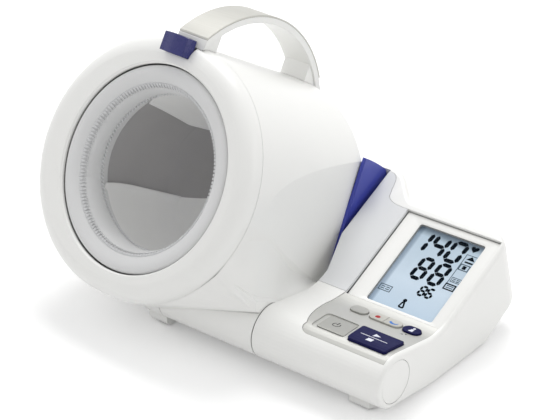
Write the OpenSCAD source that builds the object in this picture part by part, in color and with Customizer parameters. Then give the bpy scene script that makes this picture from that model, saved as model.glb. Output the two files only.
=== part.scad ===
/* [Housing] */
// Width from the hinge barrel to the right side wall
body_w = 103; // [97:1:112]
// Width of the rear part of the housing, beside the drum
rear_w = 112; // [110:1:113]
// Depth from the hinge axis to the rear bottom edge
body_rear = 150; // [146:1:156]
// Depth from the hinge axis to the rear edge of the sloping top
top_rear = 134; // [131:1:138]
// Extra depth of the top where it runs round the sector plate
hump_d = 21; // [18:1:24]
// Slope of the display in degrees
display_slope = 24.9; // [22:0.1:27]
// Height of the sloping top, carried forward to the hinge axis
slope_z0 = 12.9; // [11:0.1:15]
// Wall thickness of the housing mouldings
wall = 2.4; // [1.8:0.1:3]
// Radius of the edge between top and right side
side_round = 3; // [2:0.5:4]
// Ground clearance of the mouldings, filled by the rubber feet
foot_h = 1.4; // [1:0.1:2]

/* [Hinge] */
// Height of the hinge axis above the table
hinge_z = 25.3; // [24.5:0.1:27]
// Radius of the hinge roll
roll_r = 19; // [18:0.5:20]
// Length of the barrel that turns with the drum
barrel_len = 80.5; // [76:0.5:84]
// Width of the left bearing block
block_w = 16; // [12:1:20]
// Radius of the hinge shaft
shaft_r = 5; // [4:0.25:6]
// Outer radius of the hinge bushes
bush_r = 8; // [7.2:0.1:8.5]
// Radial running clearance of the hinge
running_gap = 0.05; // [0.03:0.01:0.09]
// Backward travel of the drum in degrees
tilt_back = 9; // [5:1:10]
// Forward travel of the drum in degrees
tilt_forward = 16; // [10:1:18]

/* [Drum] */
// Outer radius of the drum's rounded left and right sides
drum_r = 89.5; // [88.5:0.5:91]
// Length of the drum along its axis
drum_len = 135; // [130:1:138]
// Downward tilt of the drum axis towards the rear, in degrees
drum_tilt = 29.7; // [28:0.1:31]
// Turn of the drum axis towards the display, in degrees
drum_yaw = 4.1; // [3:0.1:5]
// Opening radius of the white front ring
ring_r = 71.8; // [70:0.1:74]
// Wall thickness of the drum shell
drum_wall = 3; // [2:0.1:3.5]
// Inner radius of the cuff frame tube
frame_r = 61; // [60:0.5:61.5]
// Radius of the opening of the fabric cuff
cuff_r = 56.5; // [54:0.5:57.5]

/* [Handle] */
// Width of the handle
handle_w = 26; // [22:1:30]
// Outer radius of the handle arch
handle_r = 86.5; // [85:0.5:90]
// Thickness of the white handle frame
handle_t = 4.2; // [3.5:0.1:6]
// Thickness of the silver strip
strip_t = 1.2; // [0.8:0.1:1.6]

/* [Display and keys] */
// Width of the display recess
display_w = 76.5; // [74:0.5:78]
// Depth of the display recess, along the slope
display_d = 79.5; // [78:0.5:80]
// Depth of the recess below the housing surface
recess = 2.2; // [1.5:0.1:3]
// Width of the viewing window
window_w = 52.5; // [50:0.5:56]
// Depth of the viewing window, along the slope
window_d = 67.5; // [64:0.5:70]
// Clearance round each key
key_gap = 0.3; // [0.2:0.05:0.5]
// Travel of the small keys
key_travel = 0.8; // [0.5:0.1:1]
// Travel of the release button
release_travel = 2.2; // [1.5:0.1:2.5]

/* [Power] */
// Radius of one battery cell
cell_r = 7.1; // [6.8:0.05:7.25]
// Length of one battery cell
cell_len = 50; // [48:0.5:51]
// Bore radius of the power inlet
inlet_r = 2.9; // [2.5:0.05:3.2]
// Depth of the power inlet's bore
inlet_depth = 9; // [8:0.5:10]

/* [Hidden] */
$fn = 64;

// Colours of the mouldings
white_shell = [0.93, 0.93, 0.91];
cover_grey = [0.84, 0.85, 0.86];
panel_grey = [0.72, 0.72, 0.70];
navy = [0.11, 0.11, 0.36];
fabric_grey = [0.80, 0.81, 0.83];

// Flat directions and the rolled front
slope_tan = tan(display_slope);
roll_exit = 10;
valley_r = 40;
rear_bottom_z = 18;
undercut_y = 112;
chin_y = 45;
rear_corner_r = 14;
rim_w = 3.2;
hump_x = -80;
hump_blend = 26;
left_end = -(body_w + barrel_len + block_w + 0.8);
seam = 0.4;

// Tray
tray_t = 2;
tray_top = foot_h + tray_t;
base_gap = 2;
bottom_cut_r = max(roll_r + 0.5, hinge_z - tray_top - base_gap);

// Drum placement: centre of the plane of its front opening
drum_x = -(body_w + 0.4 + drum_r + 12);
drum_y = -8.5;
drum_z = hinge_z + 91.5;
shell_start = 13;
face_round = 12;
rear_fillet = 6;
// the outside is an oval: two half turns with a short flat between them
oval_left = -10;
oval_right = 2;
facet_x = -(body_w + 8.2);
facet_turn = 3.8;
liner_start = 8;

// Sector plate, turning about the hinge axis
sector_r = 158.5;
sector_gap = 1.5;
sector_low = tilt_back - 5.5;
sector_x = facet_x - 4;
sector_t = 3;
// its top edge is a flatter arc, about a point below the table
sector_top_r = 191;
sector_top_c = [22.4, -61.8];
guard_x = sector_x - 3.8;

// Display, measured along the slope from the hinge axis
display_start = 58.8;
display_x0 = -(rim_w + display_w);
window_right = 11;
window_start = display_start + 4.4;
lens_t = 1;
cell_t = 2;

// Handle arch, in the plane of the drum axis
arch_s = 70.5;
arch_w = drum_r - 52;

// The frame's origin lies under the middle of the whole object
left_most = drum_x + oval_left * cos(drum_yaw) - drum_r * 0.99807 + 0.786;
front_most = drum_y - (drum_r - face_round) * sin(drum_tilt) * cos(drum_yaw) - 2.061;
rear_most = drum_y + ((drum_len + 2) * cos(drum_tilt) + 94.9 * sin(drum_tilt)) * cos(drum_yaw)
    + handle_w / 2 * sin(drum_yaw);
origin = [-(left_most) / 2, -(front_most + rear_most) / 2, 0];

function unit(v) = v / norm(v);
function arc(c, r, a0, a1, n) =
    [for (i = [0:n]) let (a = a0 + (a1 - a0) * i / n) c + r * [cos(a), sin(a)]];
function turn(a) = a > 180 ? a - 360 : a < -180 ? a + 360 : a;
// Round the corner p between its neighbours a and b with radius r
function corner(a, p, b, r, n) =
    let (u = unit(a - p), v = unit(b - p), half = acos(u * v) / 2,
         c = p + unit(u + v) * r / sin(half),
         s = p + u * r / tan(half) - c, e = p + v * r / tan(half) - c,
         a0 = atan2(s[1], s[0]), da = turn(atan2(e[1], e[0]) - a0))
    arc(c, r, a0, a0 + da, n);
function bezier(p, n) =
    [for (i = [0:n]) let (t = i / n, m = 1 - t)
        m * m * m * p[0] + 3 * m * m * t * p[1] + 3 * m * t * t * p[2] + t * t * t * p[3]];
// Move a clockwise outline inwards by d
function inset(p, d) =
    let (n = len(p))
    [for (i = [0:n - 1])
        let (u = unit(p[i] - p[(i + n - 1) % n]), v = unit(p[(i + 1) % n] - p[i]),
             a = [u[1], -u[0]], b = [v[1], -v[0]])
        p[i] + d * (a + b) / (1 + a * b)];

// Side profile (y, z) of the housing: roll, valley, slope, rear wall, undercut
hinge_c = [0, hinge_z];
chin = [chin_y, foot_h];
roll_start = atan2(chin[1] - hinge_z, chin[0]) - acos(roll_r / norm(chin - hinge_c));
roll_end = [roll_r * sin(roll_exit), hinge_z + roll_r * cos(roll_exit)];
valley_y = (roll_end[1] + tan(roll_exit) * roll_end[0] - slope_z0) / (slope_tan + tan(roll_exit));
valley_t = valley_r * tan((display_slope + roll_exit) / 2);
valley_c = [valley_y, slope_z0 + slope_tan * valley_y]
    - valley_t * [cos(roll_exit), -sin(roll_exit)] + valley_r * [sin(roll_exit), cos(roll_exit)];
function slope_at(y) = [y, slope_z0 + slope_tan * y];
function side_profile(back, setback) =
    let (top = slope_at(top_rear + back - setback), low = [body_rear - setback, rear_bottom_z],
         under = [undercut_y - setback / 2, foot_h])
    concat(
        arc(hinge_c, roll_r, roll_start, -270 - roll_exit, 24),
        arc(valley_c, valley_r, -90 - roll_exit, -90 + display_slope, 8),
        corner(slope_at(90), top, low, 5, 4),
        corner(top, low, under, 6, 4),
        corner(low, under, chin, 8, 3),
        [chin]);
function smooth(t) = let (u = min(1, max(0, t))) u * u * (3 - 2 * u);
function hump(x) = hump_d * smooth((hump_x - x) / hump_blend);
function setback(x) =
    x < -rear_corner_r ? 0 : rear_corner_r - sqrt(max(0, pow(rear_corner_r, 2) - pow(x + rear_corner_r, 2)));

// Loft through rings cut from the side profile, given from low to high x. Each end is closed
// by two fans of triangles, round the hinge axis and round a point under the display.
valley_point = 29;
hub_yz = [80, 28];
module loft(rings) {
    n = len(rings[0]);
    m = len(rings);
    ends = [0, m - 1];
    hubs = [for (e = ends) each [[rings[e][0][0], 0, hinge_z], [rings[e][0][0], hub_yz[0], hub_yz[1]]]];
    points = concat([for (r = rings) each r], hubs);
    sides = [for (k = [0:m - 2], i = [0:n - 1])
        let (j = (i + 1) % n, a = k * n, b = a + n)
        each [[a + i, a + j, b + j], [a + i, b + j, b + i]]];
    caps = [for (e = [0, 1])
        let (base = ends[e] * n, axis = n * m + 2 * e, under = axis + 1,
             faces = concat([for (i = [0:n - 1])
                                [i >= valley_point && i < n - 1 ? under : axis, base + i, base + (i + 1) % n]],
                            [[axis, base + valley_point, under], [under, base + n - 1, axis]]))
        each [for (f = faces) e == 1 ? f : [f[0], f[2], f[1]]]];
    polyhedron(points = points, faces = concat(sides, caps), convexity = 8);
}
function ring_at(x, d) =
    [for (p = inset(side_profile(hump(x), setback(min(x, -0.4))), d)) [x, p[0], p[1]]];
plain_x = [-106, -101.7, -97.3, -93, -88.7, -84.3, -80, -14, -10, -6];
module housing_form() {
    edge = [for (a = [0:22.5:90]) [-side_round + side_round * sin(a), side_round * (1 - cos(a))]];
    loft(concat([ring_at(guard_x, 0)], [for (x = plain_x) ring_at(x, 0)],
                [for (e = edge) ring_at(e[0], e[1])]));
}
module housing_cavity() {
    loft(concat([ring_at(-rear_w + wall, wall)], [for (x = plain_x) ring_at(x, wall)],
                [ring_at(-wall, wall)]));
}
// Solid between two depths below the plain surface, from x0 to x1
module skin(x0, x1, d0, d1) {
    along_x(x0, x1) difference() {
        polygon(inset(side_profile(0, 0), d0));
        if (d1 > d0) polygon(inset(side_profile(0, 0), d1));
    }
}
// Extrude a (y, z) outline along x
module along_x(x0, x1) {
    translate([x0, 0, 0]) rotate([90, 0, 90]) linear_extrude(x1 - x0) children();
}
module x_rod(x0, x1, r) {
    translate([x0, 0, hinge_z]) rotate([0, 90, 0]) cylinder(h = x1 - x0, r = r);
}
module slope_frame() {
    translate([0, 0, slope_z0]) rotate([display_slope, 0, 0]) children();
}
// Everything beside the drum that the housing has to leave free
module beside_drum(gap) {
    translate([0, 0, -1]) linear_extrude(200) polygon([
        [-200, -60], [-body_w + gap, -60], [-body_w + gap, 64],
        [-rear_w + gap, 92], [-rear_w + gap, 400], [-200, 400]]);
}
module guard_zone() {
    difference() {
        translate([guard_x - 1, 100, 0]) cube([-rear_w - guard_x + 2, 100, 200]);
        x_rod(guard_x - 2, -rear_w + 3, sector_r + sector_gap);
    }
}
// Plan outline of the control panel, grown by g
function panel_plan(g) = concat(
    bezier([[display_x0 - g, 53.4 + g], [display_x0 - 3.4 - g, 40], [display_x0 - 1 - g, 16],
            [-71.6 - g, 0.5]], 10),
    arc([-64.6, -3.4], 6.4 + g, 160, 270, 6),
    [[-rim_w + g, -9.8 - g], [-rim_w + g, 53.4 + g]]);
module prism(points, z0, z1) {
    translate([0, 0, z0]) linear_extrude(z1 - z0) polygon(points);
}
module display_hole(g, z0, z1) {
    slope_frame() translate([display_x0 - g, display_start - g, z0])
        cube([display_w + 2 * g, display_d + 2 * g, z1 - z0]);
}
// Plan outline of the grey cover left of the display
cover_edge = bezier([[display_x0, 125.6], [-92, 125.6], [-98, 126], [-100, 133]], 6);
cover_tail = bezier([[-100, 133], [-102, 140], [-101, 148], [-rear_w, 148.5]], 6);
function cover_plan(g) = concat(
    [[display_x0 + g, 53.6 - g], [display_x0 + g, 125.6 + g]],
    [for (i = [1:5]) cover_edge[i] + [g, g] * 0.7],
    [for (i = [1:6]) cover_tail[i] + [g, g] * 0.7],
    [[-rear_w - 1 - g, 148.5 + g], [-rear_w - 1 - g, 53.6 - g]]);
// Rear wall position at height z
function rear_y(z) = body_rear
    - (z - rear_bottom_z) * (body_rear - top_rear) / (slope_at(top_rear)[1] - rear_bottom_z);

module place() { translate(origin) children(); }
module in_drum() {
    translate([drum_x, drum_y, drum_z]) rotate([-drum_tilt, 0, -drum_yaw]) children();
}
// Turn a (radius, s) outline about the drum axis
module about_axis() { rotate([-90, 0, 0]) rotate_extrude($fn = 96) children(); }
// Carry a (radius, s) outline, starting at radius 0, round the drum's oval
module about_oval() {
    for (c = [oval_left, oval_right]) translate([c, 0, 0]) about_axis() children();
    for (m = [0, 1]) mirror([0, 0, m]) translate([oval_right, 0, 0]) rotate([0, -90, 0])
        linear_extrude(oval_right - oval_left) children();
}
module axis_rod(s0, s1, r) {
    translate([0, s0, 0]) rotate([-90, 0, 0]) cylinder(h = s1 - s0, r = r, $fn = 96);
}
// Everything below the drum's flat underside, raised by up
module below_drum(up) {
    translate([0, 0, hinge_z]) rotate([tilt_back, 0, 0])
        translate([left_most - 20, -90, -bottom_cut_r - 160 + up]) cube([260, 330, 160]);
}
module facet_space(inward) {
    translate([facet_x - inward, 0, 0]) rotate([0, 0, facet_turn])
        translate([0, -200, -100]) cube([120, 500, 500]);
}

// Battery bay under the display
cells = 4;
cell_pitch = 2 * cell_r + 0.4;
bay_x1 = -10;
bay_x0 = bay_x1 - cell_len - 6;
bay_y0 = 45.5;
bay_y1 = bay_y0 + cells * cell_pitch + 1;
door_t = 1.2;
door_gap = 0.2;
door_rim = 2.6;
door_slide = 15;
cell_z = foot_h + door_t + door_gap + cell_r;
bay_top = cell_z + cell_r - 2;
// Recess of the battery cover and of its way out to the rear
module door_way(g) {
    translate([bay_x0 - door_rim - g, bay_y0 - door_rim - g, 0])
        cube([bay_x1 - bay_x0 + 2 * door_rim + 2 * g, 90, foot_h + door_t + door_gap]);
}
screw_spots = [[-92, 47], [-92, 100], [-71, 64], [left_end + 8.3, 8]];
tray_front = 41.5;
tray_rear = 109.5;
tray_right = -5;
module lower_tray() {
    color(white_shell) place() difference() {
        union() {
            // floor plate under the housing and under the drum
            translate([0, 0, foot_h]) linear_extrude(tray_t) polygon(concat(
                arc([left_end + 14, tray_rear - 12], 12, 180, 90, 6),
                [[tray_right, tray_rear], [tray_right, tray_front], [-body_w - 0.8, tray_front],
                 [-body_w - 4, 7], [left_end + block_w, 7], [left_end + block_w, 0], [left_end + 2, 0]]));
            // walls of the battery bay
            translate([bay_x0 - 1.6, bay_y0 - 1.6, foot_h])
                cube([bay_x1 - bay_x0 + 3.2, bay_y1 - bay_y0 + 3.2, bay_top - foot_h]);
            // cradle ribs under the pump
            for (y = [62, 84]) translate([-96, y, tray_top - 0.1]) cube([26, 2, 8]);
            for (p = screw_spots) if (p[0] > -100) translate([p[0], p[1], foot_h])
                cylinder(h = 9, r = 4);
        }
        translate([bay_x0, bay_y0, foot_h + 0.4]) cube([bay_x1 - bay_x0, bay_y1 - bay_y0, 60]);
        door_way(0.3);
        for (p = screw_spots) translate([p[0], p[1], foot_h - 1]) cylinder(h = 30, r = 1.6);
        translate([-83, 40, pump_z]) rotate([-90, 0, 0]) cylinder(h = 70, r = pump_r + 0.1);
    }
}
module foot_block() {
    // step under the right end of the roll
    difference() {
        translate([0, 0, foot_h]) linear_extrude(8) polygon([
            [-38, 13], [-38, 1], [-32, -6], [-16, -6.6], [-13, -1], [-13, 13]]);
        x_rod(-60, 10, roll_r - 0.6);
    }
}
module upper_housing() {
    cap_r = roll_r - side_round - 1.2;
    color(white_shell) place() difference() {
        union() {
            difference() {
                housing_form();
                difference() {
                    housing_cavity();
                    beside_drum(2.4);
                    // bearing boss for the hinge shaft
                    x_rod(-body_w - 1, -body_w + 13, roll_r - wall + 0.3);
                }
            }
            foot_block();
        }
        difference() {
            beside_drum(0.3);
            guard_zone();
        }
        x_rod(-body_w - 2, -body_w + 14, shaft_r + 0.02);
        // seat of the end cap
        x_rod(-2, 1, cap_r + 0.2);
        x_rod(-6, 1, cap_r - 2.8);
        display_hole(0, -wall - 2, 20);
        prism(panel_plan(0), 30, 60);
        intersection() {
            prism(cover_plan(0), 30, 110);
            skin_zone(-1, wall + 0.6);
        }
        // opening closed by the tray
        translate([-rear_w - 1, tray_front - seam, foot_h - 1])
            cube([rear_w + 1 + tray_right + seam, tray_rear - tray_front + 2 * seam, tray_t + 1.8 + seam]);
        door_way(0.4);
        translate([inlet_x, rear_y(inlet_z) - 12, inlet_z]) rotate([-90, 0, 0])
            cylinder(h = 20, r = inlet_body_r + 0.1);
    }
}
// Layer of the housing between two depths, over its whole width
module skin_zone(d0, d1) {
    along_x(guard_x - 2, 0) difference() {
        polygon(inset(side_profile(hump_d, 0), d0));
        polygon(inset(side_profile(hump_d, 0), d1));
    }
}
module top_cover() {
    color(cover_grey) place() difference() {
        intersection() {
            difference() {
                housing_form();
                housing_cavity();
            }
            prism(cover_plan(-0.2), 30, 110);
            skin_zone(-1, wall);
        }
        beside_drum(0.3);
        display_hole(0.2, -wall - 4, 20);
    }
}
module left_bearing_block() {
    x0 = left_end;
    color(white_shell) place() difference() {
        union() {
            // lower half of the roll on its pedestal
            along_x(x0, x0 + block_w) union() {
                polygon(arc(hinge_c, roll_r, -170, -10, 32));
                polygon([[-10.5, 11], [-1, 11], [-1, tray_top + 1.5], [14, tray_top + 1.5], [14, tray_top],
                         [-0.4, tray_top], [-0.4, foot_h], [-7.5, foot_h], [-10.5, 5]]);
            }
            x_rod(x0, x0 + block_w, shaft_r + 4.5);
        }
        // rounded outer corner
        difference() {
            translate([x0 - 1, -roll_r - 1, 0]) cube([8, 8, 50]);
            translate([x0 + 7, -roll_r + 7, -1]) cylinder(h = 60, r = 7);
        }
        x_rod(x0 + 3, x0 + block_w + 1, shaft_r + 0.02);
        translate([screw_spots[3][0], screw_spots[3][1], 0]) cylinder(h = 10, r = 1.6);
    }
}
module right_end_cap() {
    cap_r = roll_r - side_round - 1.2;
    color(white_shell) place() {
        x_rod(-2, -0.1, cap_r);
        x_rod(-5, -2, cap_r - 3);
    }
}
module rubber_feet() {
    color([0.2, 0.2, 0.2]) place() {
        linear_extrude(foot_h) polygon([[-36, 11], [-36, 2], [-31, -4.4], [-17, -5], [-15, -1], [-15, 11]]);
        translate([left_end + 4, -6, 0]) cube([block_w - 7, 5, foot_h]);
        translate([-28, 98, 0]) cylinder(h = foot_h, r = 5);
        translate([-88, 92, 0]) cylinder(h = foot_h, r = 5);
        translate([left_end + 16, 90, 0]) cylinder(h = foot_h, r = 5);
    }
}
module hinge_shaft() {
    color("silver") place() difference() {
        x_rod(left_end + 3.2, -body_w + 12, shaft_r);
        x_rod(left_end + 40, -body_w + 13, 2.4);
    }
}

// Display stack, seated in the slope of the housing
module slope_box(x0, x1, y0, y1, z0, z1) {
    translate([x0, y0, z0]) cube([x1 - x0, y1 - y0, z1 - z0]);
}
window_x1 = -window_right;
window_x0 = window_x1 - window_w;
window_end = window_start + window_d;
bezel_t = 2.2;
lens_top = -recess - 0.4;
cell_top = -recess - bezel_t;
module display_bezel() {
    g = 0.2;
    color(white_shell) place() slope_frame() difference() {
        slope_box(display_x0 + g, -rim_w - g, display_start + g, display_start + display_d - g,
                  -recess - bezel_t, -0.3);
        slope_box(display_x0 + 1, -rim_w - 1, display_start + 1, display_start + display_d - 1, -recess, 1);
        slope_box(window_x0, window_x1, window_start, window_end, -10, 1);
    }
}
module lcd_window() {
    g = 0.1;
    color([0.85, 0.93, 1, 0.4]) place() slope_frame()
        slope_box(window_x0 + g, window_x1 - g, window_start + g, window_end - g, lens_top - lens_t, lens_top);
}
module lcd_cell() {
    color([0.75, 0.87, 0.97]) place() slope_frame()
        slope_box(window_x0 - 2, window_x1 + 2, window_start - 2, window_end + 2, cell_top - cell_t, cell_top);
}
module backlight_plate() {
    color("white") place() slope_frame()
        slope_box(window_x0 - 2, window_x1 + 2, window_start - 2, window_end + 2,
                  cell_top - cell_t - 2.5, cell_top - cell_t);
}
board_top = cell_top - cell_t - 2.5;
module circuit_board() {
    color([0.1, 0.4, 0.2]) place() slope_frame()
        slope_box(display_x0 + 2, -rim_w - 1, display_start + 3, display_start + display_d - 3,
                  board_top - 1.6, board_top);
}
module pressure_sensor() {
    color([0.15, 0.15, 0.15]) place() slope_frame() translate([-56, 112, board_top - 1.6]) {
        translate([-6, -5, -5]) cube([12, 10, 5]);
        translate([0, 0, -10]) cylinder(h = 5, r = 2);
    }
}

// Keys: outlines in plan, following the panel's surface
function oval(cx, cy, w, h, n = 12) = let (r = h / 2, e = (w - h) / 2) concat(
    arc([cx + e, cy], r, -90, 90, n), arc([cx - e, cy], r, 90, 270, n));
function rounded(points, r) = let (n = len(points)) [for (i = [0:n - 1])
    each corner(points[(i + n - 1) % n], points[i], points[(i + 1) % n], r, 4)];
key_y = 40.4;
memory_outline = oval(-58.3, key_y, 13.2, 8.6);
user_outline = oval(-16.2, key_y, 13.4, 8.8);
pair_outline = oval(-37, key_y, 25, 8.6);
start_outline = rounded([[-40.6, 20.2], [-7.8, 20], [-7.6, -2.2], [-37.4, -2.2]], 1.5);
power_outline = rounded([[-66.6, 20.2], [-45, 20.2], [-41.6, 0], [-63.6, 0]], 1.5);
pocket_outline = rounded([[-70.4, 22], [-44.2, 22], [-40.4, -2.4], [-66.6, -2.4]], 3);
panel_sink = 0.5;
panel_t = 2.4;
key_foot = 31;
mat_top = key_foot - key_travel - 0.1;
mat_t = 1;
board_t = 1.5;
// A key: its outline from its foot up to a depth below (or above) the plain surface
module key(outline, depth) {
    intersection() {
        prism(outline, key_foot, 60);
        along_x(-body_w, 0) polygon(inset(side_profile(0, 0), depth));
    }
}
module key_hole(outline) { prism(inset(reverse_if(outline), -key_gap), 20, 60); }
// Outlines are wound clockwise so that they grow and shrink alike
function area2(p) = let (n = len(p))
    [for (i = 0, s = 0; i <= n; s = s + (i < n ? cross(p[i], p[(i + 1) % n]) : 0), i = i + 1) s][n];
function reverse_if(p) = area2(p) > 0 ? [for (i = [len(p) - 1:-1:0]) p[i]] : p;
module control_panel() {
    color(panel_grey) place() difference() {
        intersection() {
            skin(-body_w, 0, panel_sink, panel_sink + panel_t);
            prism(panel_plan(-0.2), 20, 60);
        }
        display_hole(0.2, -20, 20);
        // the power key's pocket
        intersection() {
            prism(pocket_outline, 20, 60);
            skin(-body_w, 0, -2, panel_sink + 1);
        }
        for (o = [memory_outline, user_outline, pair_outline, start_outline, power_outline]) key_hole(o);
    }
}
module memory_button() { color([0.7, 0.7, 0.68]) place() key(memory_outline, -0.7); }
module user_button() { color(navy) place() key(user_outline, -0.7); }
module half_key(x0, x1) {
    intersection() {
        key(pair_outline, -0.7);
        translate([x0, 0, 0]) cube([x1 - x0, 80, 80]);
    }
}
module morning_button() { color([0.8, 0.8, 0.8]) place() half_key(-60, -37.15); }
module evening_button() { color([0.6, 0.65, 0.85]) place() half_key(-36.85, -10); }
module start_button() { color(navy) place() key(start_outline, -1.4); }
module power_button() { color([0.6, 0.6, 0.6]) place() key(power_outline, panel_sink + 0.4); }
module key_mat() {
    color([0.3, 0.3, 0.3]) place() translate([-73, -8, mat_top - mat_t]) cube([66.8, 56, mat_t]);
}
module key_board() {
    color([0.1, 0.4, 0.2]) place() translate([-73, -8, mat_top - mat_t - board_t])
        cube([66.8, 56, board_t]);
}

// Pneumatics
pump_r = 11;
pump_z = tray_top + 4 + pump_r;
module air_pump() {
    color([0.35, 0.35, 0.37]) place() translate([-83, 0, pump_z]) {
        translate([0, 50, 0]) rotate([-90, 0, 0]) cylinder(h = 30, r = pump_r);
        translate([0, 80, 0]) rotate([-90, 0, 0]) cylinder(h = 16, r = pump_r - 1);
        translate([-2.5, 92, 0]) cube([5, 4, 16]);
        translate([0, 94, 16]) cylinder(h = 5, r = 2);
    }
}
module release_valve() {
    color([0.5, 0.5, 0.52]) place() translate([-78, 24, 7.4]) {
        translate([-6, -6, 0]) cube([12, 12, 12]);
        translate([0, 0, 12]) cylinder(h = hinge_z - 2 - 19.4, r = 2);
    }
}
module air_tube() {
    // from the pump along the left wall into the hollow shaft
    tube_r = 1.9;
    z1 = hinge_z;
    color([0.85, 0.85, 0.8]) place() difference() {
        union() {
            x_rod(-body_w + 12.2, -84, tube_r);
            translate([-84, 6, z1]) rotate([0, 0, -90]) rotate_extrude(angle = 90, $fn = 48)
                translate([6, 0]) circle(r = tube_r, $fn = 24);
            translate([-78, 6, z1]) rotate([-90, 0, 0]) cylinder(h = 34, r = tube_r);
        }
    }
}
module battery_cells() {
    color([0.25, 0.27, 0.3]) place() for (i = [0:cells - 1])
        translate([bay_x0 + 4, bay_y0 + 0.5 + cell_pitch * (i + 0.5), cell_z]) rotate([0, 90, 0]) {
            cylinder(h = cell_len - 1, r = cell_r);
            cylinder(h = cell_len, r = 2.7);
        }
}
module battery_contacts() {
    color("silver") place() for (i = [0:cells - 1]) {
        y = bay_y0 + 0.5 + cell_pitch * (i + 0.5);
        translate([bay_x0 + 0.1, y - 5, cell_z - 5]) cube([0.5, 10, 10]);
        translate([bay_x1 - 0.6, y - 5, cell_z - 5]) cube([0.5, 10, 10]);
        // conical spring at the flat end
        translate([bay_x0 + 0.6, y, cell_z]) rotate([0, 90, 0]) for (k = [0:2])
            translate([0, 0, 0.5 + k * 1.1]) rotate_extrude($fn = 32)
                translate([4.4 - k * 0.7, 0]) circle(r = 0.55, $fn = 12);
        translate([bay_x0 + 4 + cell_len + 0.1, y, cell_z]) rotate([0, 90, 0])
            cylinder(h = bay_x1 - bay_x0 - cell_len - 4.8, r = 2.5);
    }
}
inlet_x = -24;
inlet_z = 34;
inlet_body_r = 6;
inlet_face = rear_y(inlet_z + inlet_body_r) - 0.4;
module dc_inlet() {
    color([0.12, 0.12, 0.12]) place() difference() {
        translate([inlet_x, inlet_face - 14, inlet_z]) rotate([-90, 0, 0])
            cylinder(h = 14, r = inlet_body_r);
        translate([inlet_x, inlet_face - inlet_depth, inlet_z]) rotate([-90, 0, 0])
            cylinder(h = inlet_depth + 1, r = inlet_r);
    }
}
module tray_screws() {
    color("gray") place() for (p = screw_spots) translate([p[0], p[1], foot_h + 0.2]) {
        cylinder(h = p[0] > -100 ? 8 : 3, r = 1.5);
    }
}
module battery_cover() {
    color(white_shell) place() difference() {
        translate([bay_x0 - door_rim, bay_y0 - door_rim, foot_h])
            cube([bay_x1 - bay_x0 + 2 * door_rim, bay_y1 - bay_y0 + 2 * door_rim, door_t]);
        // finger grooves
        for (k = [0:3]) translate([(bay_x0 + bay_x1) / 2 - 9, bay_y0 + 4 + 3 * k, foot_h - 0.5])
            cube([18, 1.2, 1]);
    }
}

// Drum: its outline from the axis outwards, grown by g, between two depths
function drum_outline(g, s0, s1) = let (r = drum_r + g, f = face_round + g) concat(
    [[0, s0]],
    s0 < 0 ? [[r - f, s0], [r - f, -g]] : [],
    s0 < face_round ? arc([r - f, face_round], f, -90, 0, 8) : [[r, s0]],
    s1 > drum_len - 1 ? arc([r - rear_fillet, drum_len + g - rear_fillet], rear_fillet, 0, 90, 6) : [[r, s1]],
    [[0, s1]]);
barrel_x1 = -body_w - seam;
barrel_x0 = barrel_x1 - barrel_len;
core_r = frame_r + 3.4;
// Skirt that carries the drum on its hinge barrel: a flat that leaves the oval and runs
// down to the roll, kept clear of the housing further back
skirt_edge = [drum_r + 17.5, 30 - drum_r];
module skirt() {
    difference() {
        in_drum() hull() {
            intersection() {
                translate([oval_right, 0, 0]) axis_rod(shell_start + 1, 90, drum_r - 0.2);
                translate([-100, 0, -100]) cube([200, 92, 56]);
            }
            translate([skirt_edge[0] - 3, 40, skirt_edge[1]]) cube([3, 50, 3.5]);
        }
        translate([barrel_x1, -200, -50]) cube([200, 400, 300]);
        difference() {
            facet_space(0);
            x_rod(facet_x - 20, 0, 58);
        }
    }
}
module drum_shell() {
    color(white_shell) place() difference() {
        union() {
            difference() {
                in_drum() about_oval() polygon(drum_outline(0, shell_start, drum_len));
                facet_space(0);
            }
            skirt();
            x_rod(barrel_x0, barrel_x1, roll_r);
        }
        // hollow between shell and cuff frame
        difference() {
            in_drum() about_oval() polygon([[0, shell_start - 1], [drum_r - drum_wall, shell_start - 1],
                [drum_r - drum_wall, drum_len - drum_wall], [0, drum_len - drum_wall]]);
            facet_space(drum_wall);
            below_drum(drum_wall);
            x_rod(barrel_x0, barrel_x1, roll_r - 2);
        }
        in_drum() axis_rod(-1, drum_len + 1, core_r);
        below_drum(0);
        // notch for the left bearing block, bores for bushes and shaft
        x_rod(barrel_x0 - block_w - 1.5, barrel_x0, roll_r + 0.6);
        x_rod(barrel_x0 - 1, barrel_x1 + 1, bush_r);
    }
}
module front_ring() {
    back = shell_start - 0.2;
    color(white_shell) place() in_drum() difference() {
        about_oval() polygon(drum_outline(0, 0, back));
        about_oval() polygon([[0, 3.4], [drum_r - face_round, 3.4], [drum_r - drum_wall, face_round],
            [drum_r - drum_wall, back + 1], [0, back + 1]]);
        about_axis() polygon([[0, -1], [ring_r + 2.2, -1], [ring_r, 1.2], [ring_r, back], [0, back]]);
        button_box(0.3, -14, back + 1);
    }
}
button_w = 21;
button_x = -3.5;
button_top = drum_r + 3.1;
button_low = drum_r - 10.3;
module button_box(g, s0, s1) {
    translate([button_x - button_w / 2 - g, s0, button_low - g])
        cube([button_w + 2 * g, s1 - s0, button_top - button_low + 2 * g]);
}
module release_button() {
    color(navy) place() in_drum() intersection() {
        button_box(0, -8, 3.2);
        // crowned front and top, upright corners rounded
        translate([button_x, 44, button_low - 8]) cylinder(h = 40, r = 51.5, $fn = 128);
        translate([button_x, 0, 0]) axis_rod(-9, 6, button_top);
        linear_extrude(200) polygon(rounded([[button_x - button_w / 2, 4], [button_x - button_w / 2, -8],
            [button_x + button_w / 2, -8], [button_x + button_w / 2, 4]], 1.2));
    }
}
module latch_slide() {
    color([0.3, 0.3, 0.3]) place() in_drum() translate([button_x - 5, 3.2, drum_r - 7.5]) cube([10, 26, 3.2]);
}
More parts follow.
